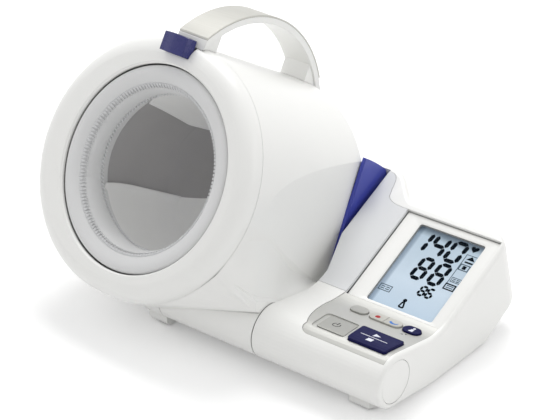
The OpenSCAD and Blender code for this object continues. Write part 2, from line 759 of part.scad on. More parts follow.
module cuff_frame() {
    color([0.9, 0.9, 0.9]) place() difference() {
        in_drum() difference() {
            axis_rod(liner_start, drum_len - 4, frame_r + 2.2);
            axis_rod(liner_start - 1, drum_len, frame_r);
        }
        below_drum(drum_wall + 0.3);
    }
}
module rear_ring() {
    color(white_shell) place() difference() {
        in_drum() about_axis() polygon([
            [frame_r - 2, drum_len - 3.8], [core_r - 0.2, drum_len - 3.8], [core_r - 0.2, drum_len],
            [core_r + 4, drum_len], [core_r + 4, drum_len + 1.4], [frame_r - 1, drum_len + 1.4],
            [frame_r - 2, drum_len + 0.4]]);
        below_drum(0.4);
    }
}
module air_bladder() {
    color([0.6, 0.6, 0.65]) place() difference() {
        in_drum() difference() {
            axis_rod(24, 108, frame_r - 0.3);
            axis_rod(23, 109, frame_r - 1.5);
        }
        below_drum(drum_wall + 0.6);
    }
}
// Padded ring that lines the mouth, sloping in to its stitched edge
module cuff_ring_pad() {
    color(fabric_grey) place() in_drum() about_axis() polygon(concat(
        bezier([[ring_r - 0.4, 3], [ring_r - 2, 0.4], [cuff_r + 7, 2.4], [cuff_r + 0.6, 6]], 8),
        [[cuff_r, 7.6], [cuff_r + 0.6, 9], [frame_r - 0.4, 9.4], [frame_r - 0.4, 7.4], [ring_r - 0.4, 6.6]]));
}
// Folded cloth of the cuff: a lapped tube with shallow folds
folds = 5;
fold_depth = 1.6;
function sleeve_r(a) = cuff_r + 0.7 - fold_depth * pow(sin(a * folds / 2 + 20), 2);
module cuff_sleeve() {
    n = 90;
    color(fabric_grey) place() difference() {
        in_drum() translate([0, 10.4, 0]) rotate([-90, 0, 0]) linear_extrude(100) difference() {
            circle(r = cuff_r + 2.6, $fn = n);
            polygon([for (i = [0:n - 1]) let (a = 360 * i / n) sleeve_r(a) * [cos(a), sin(a)]]);
        }
        below_drum(drum_wall + 0.8);
    }
}
module sector_plate() {
    r_in = 62;
    color(navy) place() {
        intersection() {
            difference() {
                x_rod(sector_x - sector_t, sector_x, sector_r);
                x_rod(sector_x - sector_t - 1, sector_x + 1, r_in);
            }
            translate([sector_x - sector_t - 1, sector_top_c[0], sector_top_c[1]]) rotate([0, 90, 0])
                cylinder(h = sector_t + 2, r = sector_top_r, $fn = 160);
            // behind the drum's rear plane, reaching a little forward beside its flat side
            union() {
                in_drum() translate([0, drum_len + 0.02, -160]) cube([200, 200, 320]);
                intersection() {
                    facet_space(-0.02);
                    in_drum() translate([0, drum_len - 6, -160]) cube([200, 20, 320]);
                }
            }
            translate([-200, 0, hinge_z]) rotate([sector_low, 0, 0]) cube([200, 220, 220]);
        }
        // flange on the drum's rear wall
        difference() {
            intersection() {
                in_drum() translate([60, drum_len + 0.02, -28]) cube([40, 2.2, 66]);
                in_drum() translate([oval_right, 0, 0])
                    axis_rod(drum_len, drum_len + 3, drum_r - rear_fillet - 0.4);
            }
            in_drum() axis_rod(drum_len - 1, drum_len + 4, core_r + 4.4);
            translate([sector_x - 0.02, -100, -10]) cube([100, 400, 300]);
        }
    }
}
module hinge_bushes() {
    color([0.75, 0.6, 0.3]) place() for (x = [barrel_x0 + 0.5, barrel_x1 - 12.5]) difference() {
        x_rod(x, x + 12, bush_r - 0.02);
        x_rod(x - 1, x + 13, shaft_r + running_gap);
    }
}
module arch(r0, r1, w) {
    translate([-w / 2, arch_s, arch_w]) rotate([0, 90, 0]) difference() {
        cylinder(h = w, r = r1, $fn = 160);
        translate([0, 0, -1]) cylinder(h = w + 2, r = r0, $fn = 160);
    }
}
module handle_frame() {
    color(white_shell) place() in_drum() difference() {
        union() {
            intersection() {
                arch(handle_r - handle_t, handle_r, handle_w);
                translate([-50, -20, 80]) cube([100, 200, 80]);
            }
            // feet between arch and drum
            intersection() {
                translate([-handle_w / 2 + 1.5, 0, 80]) cube([handle_w - 3, drum_len + 2, 40]);
                arch(handle_r - 60, handle_r, handle_w);
                for (s = [[5.6, 20], [122, drum_len + 2]]) translate([-50, s[0], 60]) cube([100, s[1] - s[0], 80]);
            }
        }
        about_oval() polygon(drum_outline(0.05, -20, drum_len + 0.05));
        about_oval() polygon([[0, drum_len - 1], [drum_r - 3.6, drum_len - 1],
            [drum_r - 3.6, drum_len + 40], [0, drum_len + 40]]);
        // room for the release button
        translate([-20, -20, 60]) cube([40, 25.4, button_top + 4 - 60]);
    }
}
module handle_strip() {
    color("silver") place() in_drum() intersection() {
        arch(handle_r + 0.02, handle_r + strip_t, handle_w);
        translate([-50, 5.6, 95]) cube([100, 200, 80]);
    }
}
module drum_screws() {
    color("gray") place() in_drum() for (a = [-90, -35, 35]) rotate([0, a, 0])
        translate([0, drum_len + 0.02, core_r + 9]) rotate([-90, 0, 0]) cylinder(h = 1, r = 2.6);
}

lower_tray();
upper_housing();
top_cover();
left_bearing_block();
right_end_cap();
rubber_feet();
hinge_shaft();
display_bezel();
lcd_window();
lcd_cell();
backlight_plate();
circuit_board();
pressure_sensor();
control_panel();
key_mat();
key_board();
air_pump();
release_valve();
air_tube();
battery_cells();
battery_contacts();
dc_inlet();
tray_screws();
battery_cover();
drum_shell();
front_ring();
cuff_frame();
rear_ring();
air_bladder();
cuff_ring_pad();
cuff_sleeve();
sector_plate();
hinge_bushes();
handle_frame();
handle_strip();
latch_slide();
release_button();
drum_screws();
power_button();
start_button();
memory_button();
morning_button();
evening_button();
user_button();
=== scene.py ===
"""Arm-in blood pressure monitor: finishes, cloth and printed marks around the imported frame."""
import math

import bmesh
import bpy
from mathutils import Matrix, Vector


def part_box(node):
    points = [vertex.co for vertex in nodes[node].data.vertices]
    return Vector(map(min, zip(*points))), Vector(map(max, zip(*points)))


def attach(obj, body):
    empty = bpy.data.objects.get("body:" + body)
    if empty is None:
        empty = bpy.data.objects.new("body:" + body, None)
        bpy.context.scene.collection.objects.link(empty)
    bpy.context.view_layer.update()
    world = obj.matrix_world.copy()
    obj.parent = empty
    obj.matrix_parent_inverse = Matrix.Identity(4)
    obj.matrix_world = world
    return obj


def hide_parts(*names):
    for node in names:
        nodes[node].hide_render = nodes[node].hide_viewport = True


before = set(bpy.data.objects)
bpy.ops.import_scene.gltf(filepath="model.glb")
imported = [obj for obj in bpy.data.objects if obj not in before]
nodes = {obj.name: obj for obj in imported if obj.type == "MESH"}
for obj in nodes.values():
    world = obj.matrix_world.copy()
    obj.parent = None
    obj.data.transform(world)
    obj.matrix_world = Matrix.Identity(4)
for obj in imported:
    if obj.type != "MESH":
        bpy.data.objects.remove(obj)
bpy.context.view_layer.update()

# Camera. It looks down from the right of the front, as the photograph does, with a long lens
# whose distance is counted from the right end of the hinge roll.
roll_end = Vector((0.151708, -0.054583, 0))
view_turn, view_rise = math.radians(38.19), math.radians(28.02)
view_right = Vector((math.cos(view_turn), math.sin(view_turn), 0))
view_back = Vector((math.sin(view_turn) * math.cos(view_rise),
                    -math.cos(view_turn) * math.cos(view_rise), math.sin(view_rise)))
view_up = view_back.cross(view_right)
camera = bpy.data.objects.new("camera", bpy.data.cameras.new("camera"))
camera.data.lens = 125.36
camera.data.clip_end = 20
camera.matrix_world = Matrix.Translation(
    roll_end - 0.07371 * view_right + 0.13163 * view_up + 1.25119 * view_back
) @ Matrix((view_right, view_up, view_back)).transposed().to_4x4()
bpy.context.scene.collection.objects.link(camera)
bpy.context.scene.camera = camera
bpy.context.scene.view_settings.view_transform = "Standard"


class Wire:
    """A shader socket. Arithmetic on it adds Math nodes to its own tree."""

    def __init__(self, wiring, socket):
        self.wiring, self.socket = wiring, socket

    def math(self, operation, *values):
        return self.wiring.node("ShaderNodeMath", {"operation": operation}, dict(enumerate(values)))

    def __add__(self, other): return self.math("ADD", self, other)
    def __radd__(self, other): return self.math("ADD", other, self)
    def __sub__(self, other): return self.math("SUBTRACT", self, other)
    def __rsub__(self, other): return self.math("SUBTRACT", other, self)
    def __mul__(self, other): return self.math("MULTIPLY", self, other)
    def __rmul__(self, other): return self.math("MULTIPLY", other, self)
    def __truediv__(self, other): return self.math("DIVIDE", self, other)
    def __rtruediv__(self, other): return self.math("DIVIDE", other, self)


class Wiring:
    """A node tree, with one method that adds any node to it."""

    def __init__(self, tree):
        self.tree = tree

    def put(self, socket, value):
        if isinstance(value, Wire):
            self.tree.links.new(value.socket, socket)
        elif isinstance(value, tuple) and len(value) == 3 and socket.type == "RGBA":
            socket.default_value = (*value, 1)
        else:
            socket.default_value = value

    def node(self, kind, settings, inputs, output=0):
        made = self.tree.nodes.new(kind)
        for name, value in settings.items():
            if name == "stops":
                ramp = made.color_ramp
                while len(ramp.elements) < len(value):
                    ramp.elements.new(0.5)
                for element, (at, shade) in zip(ramp.elements, value):
                    element.position, element.color = at, (*shade, 1)
            else:
                setattr(made, name, value)
        for name, value in inputs.items():
            self.put(made.inputs[name], value)
        return Wire(self, made.outputs[output])


class Finish(Wiring):
    """One material: a Principled surface and the nodes that feed it."""

    def __init__(self, name, **surface):
        self.material = bpy.data.materials.new(name)
        self.material.use_nodes = True
        super().__init__(self.material.node_tree)
        self.shader = self.tree.nodes["Principled BSDF"]
        self.place = self.node("ShaderNodeTexCoord", {}, {}, "Object")
        self.set(**surface)

    def set(self, **surface):
        """Principled sockets by name, with spaces written as underscores."""
        for name, value in surface.items():
            self.put(self.shader.inputs[name.replace("_", " ")], value)

    def grain(self, scale, detail=2.0, roughness=0.5):
        return self.node("ShaderNodeTexNoise", {}, {"Vector": self.place, "Scale": scale, "Detail": detail,
                                                    "Roughness": roughness})

    def blend(self, factor, a, b, how="MIX"):
        """Two colours mixed; 0, 6, 7 and 2 are the Mix node's factor, colours and result."""
        return self.node("ShaderNodeMix", {"data_type": "RGBA", "blend_type": how}, {0: factor, 6: a, 7: b}, 2)

    def along(self, axis):
        """Object position along X, Y or Z."""
        return self.node("ShaderNodeSeparateXYZ", {}, {"Vector": self.place}, axis)

    def relief(self, height, depth, edge=0.0):
        """Bump of the given depth in metres, over edges rounded to the given radius."""
        inputs = {"Height": height, "Distance": depth, "Strength": 1.0}
        if edge:
            inputs["Normal"] = self.node("ShaderNodeBevel", {"samples": 4}, {"Radius": edge})
        self.set(Normal=self.node("ShaderNodeBump", {}, inputs))

    def onto(self, *objects):
        for thing in objects:
            thing.data.materials.clear()
            thing.data.materials.append(self.material)


# Studio. A white table that runs out of view, a soft key lamp above and behind, weaker lamps at
# the right and the left front, and an even pale surround. None of it belongs to the object.
def studio_white(wiring, dim, bright):
    """A strength that is bright where a ray shows the background, and dim where it lights."""
    camera_ray, glossy_ray, clear_ray = (wiring.node("ShaderNodeLightPath", {}, {}, name) for name in
                                         ("Is Camera Ray", "Is Glossy Ray", "Is Transmission Ray"))
    seen = camera_ray.math("MAXIMUM", camera_ray, glossy_ray)
    return dim + (bright - dim) * seen.math("MAXIMUM", seen, clear_ray)


world = bpy.data.worlds.new("surround")
bpy.context.scene.world = world
world.use_nodes = True
surround = world.node_tree.nodes["Background"]
surround_wiring = Wiring(world.node_tree)
surround_wiring.put(surround.inputs["Color"], (1, 1, 1))
surround_wiring.put(surround.inputs["Strength"], studio_white(surround_wiring, 0.70, 1.0))

floor_half = 3.0
floor = bpy.data.objects.new("table", bpy.data.meshes.new("table"))
floor.data.from_pydata([(x * floor_half, y * floor_half, 0) for x, y in ((-1, -1), (1, -1), (1, 1), (-1, 1))],
                       [], [(0, 1, 2, 3)])
bpy.context.scene.collection.objects.link(floor)
table_top = Finish("table_top", Base_Color=(0.86, 0.86, 0.86), Roughness=0.7, Specular_IOR_Level=0.2,
                   Emission_Color=(1, 1, 1))
table_top.set(Emission_Strength=studio_white(table_top, 0.0, 0.22))
table_top.onto(floor)


def lamp(name, place, aim, width, watts):
    light = bpy.data.lights.new(name, "AREA")
    light.shape, light.size, light.energy = "DISK", width, watts
    thing = bpy.data.objects.new(name, light)
    thing.matrix_world = Matrix.Translation(place) @ (Vector(place) - Vector(aim)).to_track_quat(
        "Z", "Y").to_matrix().to_4x4()
    bpy.context.scene.collection.objects.link(thing)


lamp("key", (-0.45, 0.75, 1.7), (0, 0, 0.05), 1.0, 16)
lamp("fill", (1.6, 0.3, 1.1), (0, 0, 0.1), 1.2, 4)
lamp("front", (-1.5, -0.7, 1.2), (0, 0, 0.1), 1.2, 3)


# White mouldings: base shell, drum, rings, handle and covers. Gloss-finished injection
# moulded plastic, screwed together from below; seams are left open between them.
def smooth(*names, angle=30):
    """Shades a CAD node as one skin, with creases only where it turns sharply."""
    for name in names:
        thing = nodes[name]
        weld = thing.modifiers.new("weld", "WELD")
        weld.merge_threshold = 2e-6
        crease = thing.modifiers.new("crease", "EDGE_SPLIT")
        crease.split_angle = math.radians(angle)
        crease.use_edge_sharp = False
        normal = thing.modifiers.new("normal", "WEIGHTED_NORMAL")
        normal.weight, normal.keep_sharp = 60, True


def shell(name, colour, roughness, edge=0.0006):
    """Moulded shell: faint mottle, uneven polish, softened edges, and painted shade that darkens its narrow seams."""
    finish = Finish(name, Specular_IOR_Level=0.45)
    mottle = finish.grain(55, 3)
    # Painted shade: where ambient occlusion finds a narrow seam or gap, the base colour darkens to a tenth.
    openness = finish.node("ShaderNodeAmbientOcclusion", {"samples": 6}, {"Distance": 0.0022}, "AO")
    painted_seam_shade = finish.node("ShaderNodeMapRange", {}, {"Value": openness, "From Min": 0.12, "From Max": 0.42})
    plastic = finish.blend(mottle, tuple(0.985 * c for c in colour), colour)
    finish.set(Base_Color=finish.blend(painted_seam_shade, tuple(0.10 * c for c in colour), plastic),
               Roughness=roughness + 0.08 * finish.grain(240, 2))
    finish.relief(finish.grain(1800, 2), 0.00001, edge)
    return finish


white_names = ("lower_tray", "upper_housing", "left_bearing_block", "right_end_cap", "battery_cover",
               "drum_shell", "front_ring", "rear_ring", "handle_frame", "display_bezel")
white = shell("white_shell", (0.87, 0.87, 0.85), 0.26)
white.onto(*(nodes[n] for n in white_names))
smooth(*white_names)

# Grey top cover left of the display. The same moulding plastic in a darker tint, clipped into
# the base shell with an open seam round it.
cover = shell("cover_grey", (0.70, 0.71, 0.72), 0.32)
cover.onto(nodes["top_cover"])
smooth("top_cover")


# Handle strip. A satin silver foil-faced strip pressed onto the arch, brushed across its width.
strip = Finish("handle_silver", Metallic=0.6, Specular_IOR_Level=0.5)
strip_streak = strip.node("ShaderNodeTexNoise", {}, {
    "Vector": strip.node("ShaderNodeMapping", {}, {"Vector": strip.place, "Scale": (40, 1200, 1200)}),
    "Scale": 1.0, "Detail": 3.0})
strip.set(Base_Color=strip.blend(strip_streak, (0.47, 0.465, 0.43), (0.57, 0.565, 0.53)),
          Roughness=0.34 + 0.16 * strip_streak)
strip.relief(strip_streak, 0.00001, 0.0005)
strip.onto(nodes["handle_strip"])
smooth("handle_strip")


# Navy parts: the release button in the front ring, the sector plate behind the drum and the two
# navy keys. Glossy coloured moulding; the plate is the same plastic with a silk finish, in a blue
# lightened past its own: painted light over the shade it sits in behind the drum.
def navy(name, colour, roughness, coat, gloss=0.22):
    finish = Finish(name, Specular_IOR_Level=gloss, Coat_Roughness=0.08)
    flow = finish.grain(90, 3)
    finish.set(Base_Color=finish.blend(flow, colour, tuple(1.04 * c for c in colour)),
               Roughness=roughness + 0.07 * finish.grain(420, 2), Coat_Weight=coat + 0.05 * flow)
    finish.relief(finish.grain(1500, 2), 0.000012, 0.0007)
    return finish


button_blue = navy("button_navy", (0.028, 0.030, 0.15), 0.24, 0.25)
button_blue.onto(nodes["release_button"])
# Painted light: the sector plate's base colour is lighter than its own blue, to lift the shade behind the drum.
lifted_plate_blue = navy("sector_blue", (0.052, 0.066, 0.37), 0.3, 0.2)
lifted_plate_blue.onto(nodes["sector_plate"])
key_blue = navy("key_navy", (0.008, 0.008, 0.062), 0.4, 0.0, 0.07)
key_blue.onto(nodes["start_button"], nodes["user_button"])
smooth("release_button", "sector_plate", "start_button", "user_button")


# Cuff mouth. A padded ring of brushed cloth lines the drum's mouth: a broad outer roll, a narrow
# inner roll and a flat facing, drawn in at two sewn rings. Cloth pressure puffs it between them.
drum_mouth = Vector((-0.053192, -0.063083, 0.1168))
drum_tilt, drum_yaw = math.radians(29.7), math.radians(4.1)
drum_along = Vector((math.sin(drum_yaw) * math.cos(drum_tilt), math.cos(drum_yaw) * math.cos(drum_tilt),
                     -math.sin(drum_tilt)))
drum_across = Vector((math.cos(drum_yaw), -math.sin(drum_yaw), 0))
drum_up = drum_across.cross(drum_along)


def in_drum(angle, radius, depth):
    """A point by its angle about the drum's axis in degrees, and radius and depth in millimetres."""
    a = math.radians(angle)
    return drum_mouth + 0.001 * (radius * math.cos(a) * drum_across + radius * math.sin(a) * drum_up
                                 + depth * drum_along)


def surface(name, rows, around=False, closed=False):
    """A quad mesh through rows of points; around joins the last row to the first, closed each row's ends."""
    count, wide = len(rows), len(rows[0])
    faces = [(i * wide + j, i * wide + (j + 1) % wide, (i + 1) % count * wide + (j + 1) % wide,
              (i + 1) % count * wide + j)
             for i in range(count if around else count - 1) for j in range(wide if closed else wide - 1)]
    mesh = bpy.data.meshes.new(name)
    mesh.from_pydata([tuple(p) for row in rows for p in row], [], faces)
    mesh.update()
    thing = bpy.data.objects.new(name, mesh)
    bpy.context.scene.collection.objects.link(thing)
    outwards = bmesh.new()
    outwards.from_mesh(mesh)
    bmesh.ops.recalc_face_normals(outwards, faces=outwards.faces)
    outwards.to_mesh(mesh)
    outwards.free()
    for face in mesh.polygons:
        face.use_smooth = True
    return thing


def applied(thing, kind, **settings):
    """Adds a modifier and makes its result the mesh."""
    modifier = thing.modifiers.new(kind.lower(), kind)
    for name, value in settings.items():
        setattr(modifier, name, value)
    graph = bpy.context.evaluated_depsgraph_get()
    mesh = bpy.data.meshes.new_from_object(thing.evaluated_get(graph))
    thing.modifiers.clear()
    thing.data = mesh
    for face in mesh.polygons:
        face.use_smooth = True


def bump_at(angle, centre, half):
    """1 at the centre angle, falling smoothly to 0 half a width away."""
    off = abs((angle - centre + 180) % 360 - 180) / half
    return 0.5 + 0.5 * math.cos(math.pi * min(1, off))


# Cross-section of the ring as (radius, depth); held points are sewn or clipped down.
ring_section = [(71.1, 6.4, 1), (71.2, 4.4, 0), (70.6, 2.5, 0), (68.9, 1.4, 0), (66.6, 1.2, 0), (64.2, 1.6, 0),
                (62.0, 2.5, 0), (60.0, 3.7, 0), (58.4, 5.2, 0), (57.5, 6.5, 1), (57.1, 7.6, 1), (56.3, 8.6, 0),
                (55.3, 10.4, 0), (54.6, 12.6, 0), (54.2, 14.8, 0), (54.1, 17.0, 0), (54.3, 19.0, 0),
                (54.8, 20.7, 0), (55.3, 22.0, 1), (55.5, 23.2, 1), (56.4, 26.0, 0), (56.9, 29.0, 0),
                (57.3, 31.0, 1), (58.4, 31.2, 1), (59.0, 26.0, 1), (59.4, 18.0, 1), (59.6, 10.2, 1),
                (61.4, 8.4, 1), (66.0, 7.4, 1)]
ring_steps = 300
ring_rows, ring_held = [], []
for step in range(ring_steps):
    turn = 360 * step / ring_steps
    low = bump_at(turn, 252, 75)
    row = []
    for index, (radius, depth, held) in enumerate(ring_section):
        inner = index in range(11, 24)
        deeper = (5.0 * low + 1.2 * bump_at(turn, 128, 50)) * min(1, max(0, (depth - 9) / 12)) * inner
        closer = -1.6 * low * min(1, max(0, (depth - 8) / 10)) * (index in range(11, 22))
        pucker = 0.0
        if index in (8, 11):
            pucker = 0.28 * math.sin(math.radians(turn) * 75 + 1.3 * math.sin(math.radians(turn) * 7))
        if index in (16, 17):
            pucker = 0.24 * math.sin(math.radians(turn) * 68 + 1.7 * math.sin(math.radians(turn) * 5))
        slack = 0.35 * math.sin(math.radians(turn) * 9 + 2) * (index in range(12, 16))
        row.append(in_drum(turn, radius + closer + pucker + slack, depth + deeper))
        stitched = held and not (index in (9, 18) and step % 4 == 0)
        ring_held.append(1.0 if stitched else 0.0)
    ring_rows.append(row)
cuff_ring = surface("cuff_ring", ring_rows, around=True, closed=True)


def puffed(thing, held, pressure, reach):
    """Cloth under pressure for twenty frames, each point moving at most reach metres, kept as the mesh."""
    before = [v.co.copy() for v in thing.data.vertices]
    pins = thing.vertex_groups.new(name="held")
    for index, weight in enumerate(held):
        pins.add([index], weight, "REPLACE")
    cloth = thing.modifiers.new("cloth", "CLOTH")
    cloth.settings.vertex_group_mass = "held"
    cloth.settings.quality = 5
    cloth.settings.mass = 0.2
    cloth.settings.tension_stiffness = cloth.settings.compression_stiffness = 25
    cloth.settings.bending_stiffness = 0.4
    cloth.settings.use_pressure = True
    cloth.settings.uniform_pressure_force = pressure
    cloth.settings.effector_weights.gravity = 0
    cloth.collision_settings.use_collision = False
    cloth.point_cache.frame_end = 20
    scene = bpy.context.scene
    for frame_number in range(1, 21):
        scene.frame_set(frame_number)
    graph = bpy.context.evaluated_depsgraph_get()
    mesh = bpy.data.meshes.new_from_object(thing.evaluated_get(graph))
    thing.modifiers.clear()
    thing.vertex_groups.clear()
    thing.data = mesh
    for vertex, start in zip(mesh.vertices, before):
        move = vertex.co - start
        if move.length > reach:
            vertex.co = start + move * (reach / move.length)
    scene.frame_set(1)


puffed(cuff_ring, ring_held, 6.0, 0.0012)
applied(cuff_ring, "SUBSURF", levels=1, render_levels=1)
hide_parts("cuff_ring_pad")
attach(cuff_ring, "cuff_drum")


def cloth(name, colour, shade):
    """Brushed knit: fine ribs round and along, loose fibres, and a soft uneven tint."""
    finish = Finish(name, Specular_IOR_Level=0.15, Sheen_Weight=0.25, Sheen_Roughness=0.5)
    fibres = finish.grain(2600, 4, 0.7)
    knit = finish.node("ShaderNodeTexVoronoi", {}, {"Vector": finish.place, "Scale": 1500.0})
    tint = finish.grain(38, 3)
    finish.set(Base_Color=finish.blend(0.55 * tint + 0.45 * fibres, shade, colour),
               Roughness=0.78 + 0.16 * fibres)
    finish.relief(0.6 * fibres + 0.4 * knit, 0.00005)
    return finish


pad_cloth = cloth("cuff_cloth", (0.755, 0.757, 0.757), (0.67, 0.673, 0.675))
pad_cloth.onto(cuff_ring)


# Flare of the drum's skirt. A smooth white moulding that carries the drum's right side down to the
# hinge barrel and the seam beside the housing, one skin with the shell.
def read_off(at, table):
    """Straight-line reading of a table of (position, value)."""
    for (a, x), (b, y) in zip(table, table[1:]):
        if at <= b:
            return x + (y - x) * max(0.0, (at - a) / (b - a))
    return table[-1][1]


oval_r, oval_x = 89.5, 2.0          # radius and centre of the drum's right half, in millimetres
axis_x, axis_y = -204.9, -8.5       # the drum's mouth, from the housing's right wall and the hinge
facet_line = (-111.2, -0.0664)      # the facet: x where y is 0, and x gained for each millimetre of y
seam_x, seam_lean = -103.55, -0.225  # the seam beside the housing, and its lean past the valley
under_line = (0.3144, -90.15, 0.9493)   # the skirt's underside, as a line across the drum
facet_foot = ((52, -15.0), (63, -24.0), (79, -31.0), (101, -35.4), (126, -37.0))    # depth, height
seam_top = ((44, -60.6), (73, -50.7), (93, -41.2), (109, -35.6), (126, -37.2))      # depth, height
side_steps, seam_steps, under_steps = 16, 4, 12
flare_rows = []
for i in range(57):
    depth = 13.5 + 2 * i
    out = 1 - (1 - min(1.0, (depth - 13.0) / 28)) ** 1.5
    foot = read_off(depth, facet_foot)
    facet_y = axis_y + 0.8664 * depth + 0.494 * foot
    facet_t = (facet_line[0] - axis_x + facet_line[1] * facet_y - 0.0621 * depth - 0.03543 * foot) / 0.99744
    top = (min(facet_t, oval_x + math.sqrt(oval_r ** 2 - foot ** 2)) - 0.25, foot)
    edge_w = read_off(depth, seam_top)
    edge_x = seam_x + seam_lean * max(0.0, depth - 92)
    edge_t = (edge_x - axis_x - 0.0621 * depth - 0.03543 * edge_w) / 0.99744
    middle = (top[0] + 0.4, 0.5 * (top[1] + edge_w) - 4)
    corner_w = max((under_line[0] * (edge_t + 0.3) + under_line[1]) / under_line[2] - 0.3,
                   edge_w - max(2.0, 26 - 0.55 * max(0.0, depth - 40)))
    corner_w = min(corner_w, edge_w - 0.4)
    inner_t = 28.0 + (edge_t - 30.0) * min(1.0, max(0.0, (depth - 44) / 16))
    row = []
    for k in range(side_steps + seam_steps + under_steps + 1):
        if k <= side_steps:
            u = k / side_steps
            t, w = ((1 - u) ** 2 * a + 2 * u * (1 - u) * b + u * u * c
                    for a, b, c in zip(top, middle, (edge_t, edge_w)))
        elif k <= side_steps + seam_steps:
            u = (k - side_steps) / seam_steps
            t, w = edge_t, edge_w + (corner_w - edge_w) * u
        else:
            u = (k - side_steps - seam_steps) / under_steps
            t, w = edge_t + (inner_t - edge_t) * u, corner_w
            w += (max(-86.0, w - 0.3312 * (edge_t - t)) - w) * min(1.0, 4 * u)
        angle = math.atan2(w, t - oval_x)
        on_oval = (oval_x + (oval_r - 0.3) * math.cos(angle), (oval_r - 0.3) * math.sin(angle))
        if k <= side_steps + seam_steps or out < 1:
            t, w = on_oval[0] + (t - on_oval[0]) * out, on_oval[1] + (w - on_oval[1]) * out
        row.append(in_drum(0, t, depth) + 0.001 * w * drum_up)
    flare_rows.append(row)
flare = surface("drum_flare", flare_rows)
white.onto(flare)
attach(flare, "cuff_drum")


# Sleeve of the cuff. One sheet of the same cloth wraps the tunnel from its lap at the lower left
# round the bottom and right to the top, and a dark inner sheet shows between its two edges.
def above_tray(angle, radius, depth):
    """The depth, cut short where the drum's far bottom edge comes down to the tray."""
    return min(depth, (98.6 + 0.86863 * radius * math.sin(math.radians(angle))) / 0.4955)


def sleeve_rows(first, last, depth_0, depth_1, radius, steps, deep, lift, sway):
    """Rows along a sheet that wraps from the first angle to the last; lift raises its two edges inwards."""
    rows = []
    for i in range(steps + 1):
        share = i / steps
        row = []
        for j in range(deep + 1):
            depth = depth_0 + (depth_1 - depth_0) * j / deep
            far = (depth - 30) / 100
            start, end = first(depth), last(depth)
            angle = start + (end - start) * share
            edge = max(0.0, 1 - min(share, 1 - share) * (end - start) / 7)
            fold = sway * (math.sin(math.radians(angle) * 5 + 1.1 + 0.6 * far)
                           + 0.5 * math.sin(math.radians(angle) * 11 + 2.5 * far))
            open_lap = lift * edge ** 2 * (1.1 - 0.8 * max(0, min(1, far)))
            row.append(in_drum(angle, radius + fold * 0.5 - open_lap, above_tray(angle, radius, depth)))
        rows.append(row)
    return rows


def flat_size(rows):
    """Width and length of a sheet, measured along its middle lines."""
    middle = len(rows[0]) // 2
    width = sum((a[middle] - b[middle]).length for a, b in zip(rows, rows[1:]))
    line = rows[len(rows) // 2]
    length = sum((a - b).length for a, b in zip(line, line[1:]))
    return width, length


def lap_edge(depth):
    return 201.5 + 2.2 * max(0, 1 - (depth - 30) / 28) ** 2


def top_edge(depth):
    return 360 + min(144.0, 132.5 + 0.21 * (depth - 30))


light_rows = sleeve_rows(lap_edge, top_edge, 27, 112, 56.6, 150, 30, 2.6, 0.5)
sleeve = surface("cuff_sleeve_cloth", light_rows)
dark_rows = sleeve_rows(lambda depth: 122, lambda depth: 216, 29, 128, 58.3, 50, 30, 0.0, 0.25)
lining = surface("cuff_lining", dark_rows)
for sheet_piece, rows in ((sleeve, light_rows), (lining, dark_rows)):
    flat = flat_size(rows)
    applied(sheet_piece, "SOLIDIFY", thickness=0.0007, offset=0)
    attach(sheet_piece, "cuff_drum")
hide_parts("cuff_sleeve")
sleeve_cloth = cloth("cuff_sleeve", (0.90, 0.90, 0.89), (0.82, 0.82, 0.81))
sleeve_cloth.onto(sleeve)
dark_cloth = cloth("cuff_lining", (0.44, 0.43, 0.43), (0.38, 0.372, 0.374))
dark_cloth.onto(lining)


# Elbow end of the cuff. A padded hem drawn in by elastic, dark and light as the sheets before it,
# that narrows the far end of the tunnel.
hem_section = [(58.35, 88.0), (57.9, 100.0), (56.4, 109.0), (53.4, 115.0), (49.6, 119.6), (44.4, 123.4), (39.6, 125.2),
               (38.6, 126.4), (40.2, 127.2), (48.0, 125.6), (53.4, 122.6), (57.4, 118.6), (58.6, 108.0)]
hem_rows = []
for step in range(180):
    turn = 2 * step
    hem_rows.append([in_drum(turn, radius + 0.5 * math.sin(math.radians(turn) * 22) * (58 - radius) / 16,
                             above_tray(turn, radius, depth + 0.01 * index))
                     for index, (radius, depth) in enumerate(hem_section)])
hem = surface("cuff_rear_hem", hem_rows, around=True, closed=True)
dark_cloth.onto(hem)
hem.data.materials.append(sleeve_cloth.material)
for face in hem.data.polygons:
    turn = 2 * (face.index // len(hem_section))
    face.material_index = 1 if turn > 201 or turn < 143 else 0
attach(hem, "cuff_drum")


# Stitches of the cuff. Light sewing thread: an overlocked zigzag round the outer seam and short
# chain stitches round the inner one, each a raised thread that dips into the cloth at its ends.
def threads(name, paths, radius, sides=6):
    """One mesh of round threads, each through its own row of points."""
    verts, faces = [], []
    for path in paths:
        base = len(verts)
        for i, point in enumerate(path):
            ahead = (path[min(i + 1, len(path) - 1)] - path[max(i - 1, 0)]).normalized()
            side = ahead.cross(drum_along if abs(ahead.dot(drum_along)) < 0.9 else drum_up).normalized()
            other = ahead.cross(side)
            thin = 0.55 if i in (0, len(path) - 1) else 1.0
            for k in range(sides):
                a = math.tau * k / sides
                verts.append(point + radius * thin * (math.cos(a) * side + math.sin(a) * other))
        for i in range(len(path) - 1):
            for k in range(sides):
                a, b = base + i * sides + k, base + i * sides + (k + 1) % sides
                faces.append((a, b, b + sides, a + sides))
        faces.append(tuple(base + k for k in reversed(range(sides))))
        faces.append(tuple(base + (len(path) - 1) * sides + k for k in range(sides)))
    mesh = bpy.data.meshes.new(name)
    mesh.from_pydata([tuple(v) for v in verts], [], faces)
    for face in mesh.polygons:
        face.use_smooth = True
    thing = bpy.data.objects.new(name, mesh)
    bpy.context.scene.collection.objects.link(thing)
    return thing


